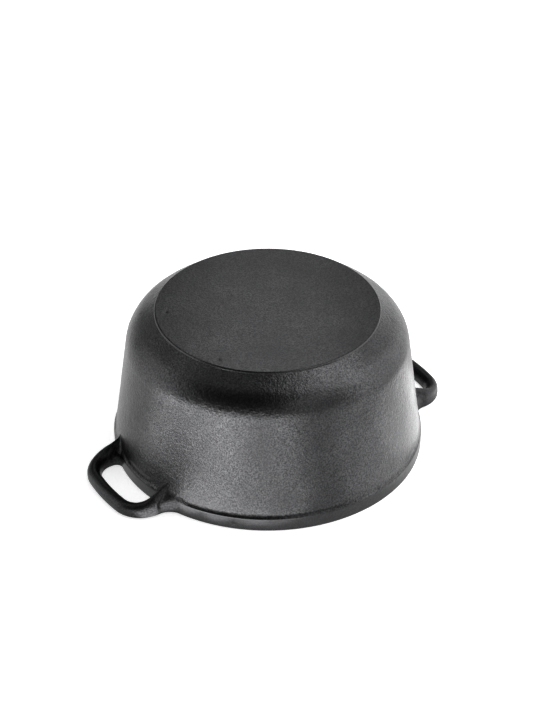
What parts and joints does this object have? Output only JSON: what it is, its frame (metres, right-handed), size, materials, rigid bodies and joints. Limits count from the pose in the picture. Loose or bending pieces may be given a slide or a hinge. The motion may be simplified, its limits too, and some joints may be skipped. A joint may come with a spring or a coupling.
{
  "type": "dutch oven pot",
  "caption": "Round cast iron cooking pot with drafted walls, a raised flat base, a thick rim band and integral loop handles on opposite sides, set down on its rim.",
  "frame": {"origin": "centre of the mouth, in the plane of the rim face that the pot stands on", "axes": "+Z from the mouth to the base, so the pot is upside down; handles on +X and -X; +Y completes a right-handed frame"},
  "size_m": [0.3248, 0.2604, 0.1281],
  "materials": {
    "cast_body": "sand-cast and oil-seasoned, pebbly, satin black",
    "base_face": "finer cast face, oil-seasoned, even dark grey",
    "cast_rim": "fettled and oil-seasoned, satin black",
    "cast_handles": "sand-cast and oil-seasoned, satin black"
  },
  "bodies": {
    "root": {"base_plate": "base_face", "side_wall": "cast_body", "rim_band": "cast_rim", "handle_left": "cast_handles", "handle_right": "cast_handles"}
  },
  "joints": []
}
